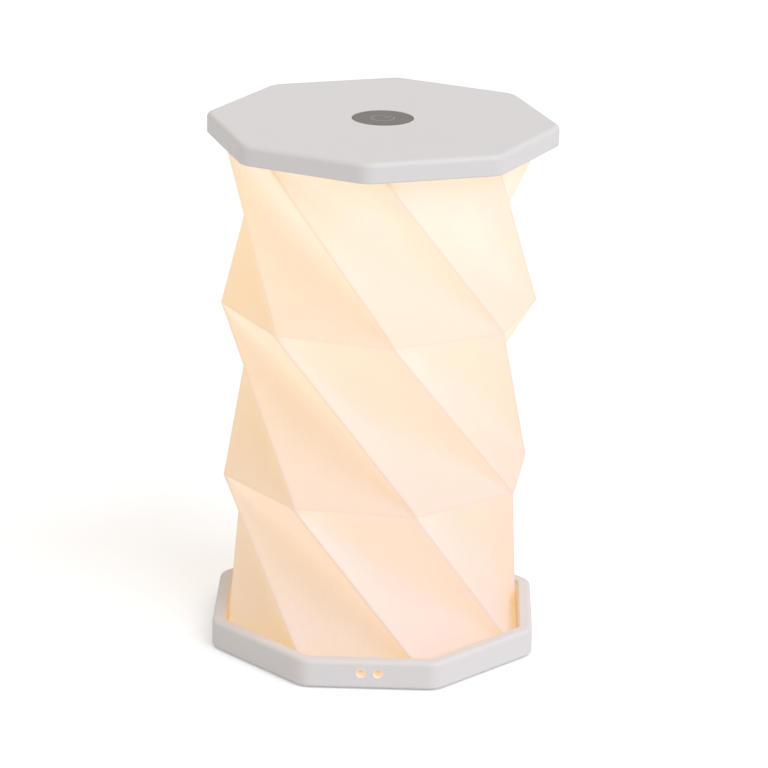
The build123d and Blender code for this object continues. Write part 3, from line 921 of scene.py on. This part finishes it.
class LAMP_OT_finish_housing(bpy.types.Operator):
    """Finish the moulded head and base"""

    bl_idname = "lamp.finish_housing"
    bl_label = "Finish Housing"

    def execute(self, context):
        settings = context.scene.lamp_body
        housing = moulded_material("Moulded Housing", settings.housing, settings.housing_roughness)
        finish_nodes(housing, "head_cover", "head_plate")
        finish_nodes(tray_material(settings), "base_tray")
        rings = moulded_material("Moulded Rings", (0.80, 0.78, 0.75), roughness=0.5)
        finish_nodes(rings, "shade_foot_ring", "shade_top_ring")
        rubber = moulded_material(
            "Pad Rubber", (0.42, 0.40, 0.39), roughness=0.85, grain_scale=2200.0, grain_depth=0.00005
        )
        finish_nodes(rubber, "foot_pads")
        return {"FINISHED"}


class LAMP_OT_finish_button(bpy.types.Operator):
    """Finish the button and the switch below it"""

    bl_idname = "lamp.finish_button"
    bl_label = "Finish Button"

    def execute(self, context):
        finish_nodes(button_material(context.scene.lamp_body), "button_cap")
        switch = moulded_material("Switch Plastic", (0.03, 0.03, 0.032), roughness=0.45)
        finish_nodes(switch, "tact_switch", "switch_plunger", "usb_tongue")
        return {"FINISHED"}


class LAMP_OT_finish_metal(bpy.types.Operator):
    """Finish the weight, screws and charging inlet"""

    bl_idname = "lamp.finish_metal"
    bl_label = "Finish Metal"

    def execute(self, context):
        weight = steel_material("Plated Weight", (0.55, 0.55, 0.56), roughness=0.4)
        finish_nodes(weight, "base_weight")
        screws = steel_material("Screw Steel", (0.60, 0.60, 0.61), roughness=0.32)
        finish_nodes(screws, "base_screws", "ring_screws", "head_screws", "board_screws")
        inlet = steel_material("Inlet Steel", (0.68, 0.68, 0.69), roughness=0.26)
        finish_nodes(inlet, "usb_socket")
        return {"FINISHED"}


class LAMP_OT_finish_electronics(bpy.types.Operator):
    """Finish the light, board and battery inside the head"""

    bl_idname = "lamp.finish_electronics"
    bl_label = "Finish Electronics"

    def execute(self, context):
        finish_nodes(lit_material("Milky Diffuser", (0.95, 0.80, 0.60), strength=1.0), "diffuser")
        finish_nodes(lit_material("Lamp Phosphor", (1.0, 0.78, 0.45), strength=2.0), "leds")
        board = moulded_material("Board Mask", (0.86, 0.86, 0.84), roughness=0.35)
        finish_nodes(board, "control_board")
        foil = steel_material("Cell Foil", (0.75, 0.76, 0.78), roughness=0.3)
        finish_nodes(foil, "battery_cells")
        foam = moulded_material(
            "Foam Tape", (0.10, 0.10, 0.10), roughness=0.9, grain_scale=1500.0, grain_depth=0.00008
        )
        finish_nodes(foam, "battery_tape")
        sheath = moulded_material("Lead Sheath", (0.45, 0.05, 0.04), roughness=0.5)
        finish_nodes(sheath, "battery_leads")
        return {"FINISHED"}


def background_rays(tree):
    """1 for rays that see the background, also in gloss or through glass, and 0 for light on the lamp."""
    path = tree.nodes.new("ShaderNodeLightPath").outputs
    seen = math_node(tree, "ADD", path["Is Camera Ray"], path["Is Glossy Ray"])
    return math_node(tree, "ADD", seen, path["Is Transmission Ray"], clamp=True)


class LAMP_OT_set_stage(bpy.types.Operator):
    """Set the camera, lights and white floor"""

    bl_idname = "lamp.set_stage"
    bl_label = "Set Stage"

    def execute(self, context):
        settings = context.scene.lamp_stage
        self.aim_camera(context, settings)
        self.light(context, settings)
        self.lay_floor(context, settings)
        context.scene.view_settings.view_transform = "Standard"
        return {"FINISHED"}

    def aim_camera(self, context, settings):
        """Camera at the picture's angle."""
        data = bpy.data.cameras.new("Camera")
        data.lens = settings.lens
        data.shift_x, data.shift_y = (pixels / PHOTO_SIDE for pixels in settings.shift)
        data.clip_end = CAMERA_REACH
        level, rise = math.cos(settings.elevation), math.sin(settings.elevation)
        back = Vector((level * math.sin(settings.azimuth), -level * math.cos(settings.azimuth), rise))
        aim = (-back).to_track_quat("-Z", "Y").to_matrix().to_4x4()
        target = Vector((0.0, 0.0, settings.target_height))
        place = Matrix.Translation(target + back * settings.distance)
        camera = add_object(context, "Camera", data)
        camera.matrix_world = place @ (aim @ Matrix.Rotation(settings.roll, 4, "Z"))
        context.scene.camera = camera

    def light(self, context, settings):
        """Even light all round and a broad soft key from the right."""
        world = bpy.data.worlds.new("Studio")
        world.use_nodes = True
        tree = world.node_tree
        light = rgba(settings.ambient_color, settings.ambient)
        color = mix_color(tree, background_rays(tree), light, WHITE)
        feed(tree, tree.nodes["Background"].inputs["Color"], color)
        context.scene.world = world
        data = bpy.data.lights.new("Key", "SUN")
        data.energy = settings.key
        data.color = settings.key_color
        data.angle = settings.key_spread
        key = add_object(context, "Key", data)
        key.rotation_euler = (math.pi / 2 - settings.key_elevation, 0.0, settings.key_azimuth)

    def lay_floor(self, context, settings):
        """White floor that keeps the lamp's shadow."""
        bm = bmesh.new()
        bmesh.ops.create_grid(bm, x_segments=1, y_segments=1, size=FLOOR_REACH)
        mesh = finished_mesh(bm, "studio_floor")
        numbers = {"Roughness": 1.0, "Specular IOR Level": 0.0}
        material, tree, shader = new_material("Studio Floor", numbers)
        feed(tree, shader["Base Color"], rgba(settings.floor))
        feed(tree, shader["Emission Color"], WHITE)
        reach = {"Distance": CONTACT_REACH}
        nearby = add_node(tree, "ShaderNodeAmbientOcclusion", reach, samples=CONTACT_SAMPLES).outputs["AO"]
        spread = settings.floor_lift * CONTACT_SHARE
        lift = math_node(tree, "MULTIPLY_ADD", nearby, spread, settings.floor_lift - spread)
        feed(tree, shader["Emission Strength"], product(tree, background_rays(tree), lift))
        mesh.materials.append(material)
        floor = add_object(context, "studio_floor", mesh)


class LAMP_PT_sidebar(bpy.types.Panel):
    """Lists the lamp's settings and steps"""

    bl_idname = "LAMP_PT_sidebar"
    bl_label = "Folding Table Lamp"
    bl_space_type = "VIEW_3D"
    bl_region_type = "UI"
    bl_category = "Lamp"

    def draw(self, context):
        for settings in (context.scene.lamp_shade, context.scene.lamp_body, context.scene.lamp_stage):
            box = self.layout.box()
            for name in settings.__annotations__:
                box.prop(settings, name)
        for operator in OPERATORS:
            self.layout.operator(operator.bl_idname)


SETTINGS = {"lamp_shade": LampShadeSettings, "lamp_body": LampBodySettings, "lamp_stage": LampStageSettings}
OPERATORS = (
    LAMP_OT_fold_shade,
    LAMP_OT_finish_housing,
    LAMP_OT_finish_button,
    LAMP_OT_finish_metal,
    LAMP_OT_finish_electronics,
    LAMP_OT_set_stage,
)
CLASSES = (*SETTINGS.values(), *OPERATORS, LAMP_PT_sidebar)


def register():
    """Registers the add-on's classes and settings."""
    for registered in CLASSES:
        bpy.utils.register_class(registered)
    for name, group in SETTINGS.items():
        setattr(bpy.types.Scene, name, bpy.props.PointerProperty(type=group))


def unregister():
    """Removes the add-on's settings and classes."""
    for name in SETTINGS:
        delattr(bpy.types.Scene, name)
    for registered in reversed(CLASSES):
        bpy.utils.unregister_class(registered)


def main():
    """Dresses the lamp."""
    register()
    bpy.ops.lamp.fold_shade()
    bpy.ops.lamp.finish_housing()
    bpy.ops.lamp.finish_button()
    bpy.ops.lamp.finish_metal()
    bpy.ops.lamp.finish_electronics()
    bpy.ops.lamp.set_stage()


if __name__ == "__main__":
    main()
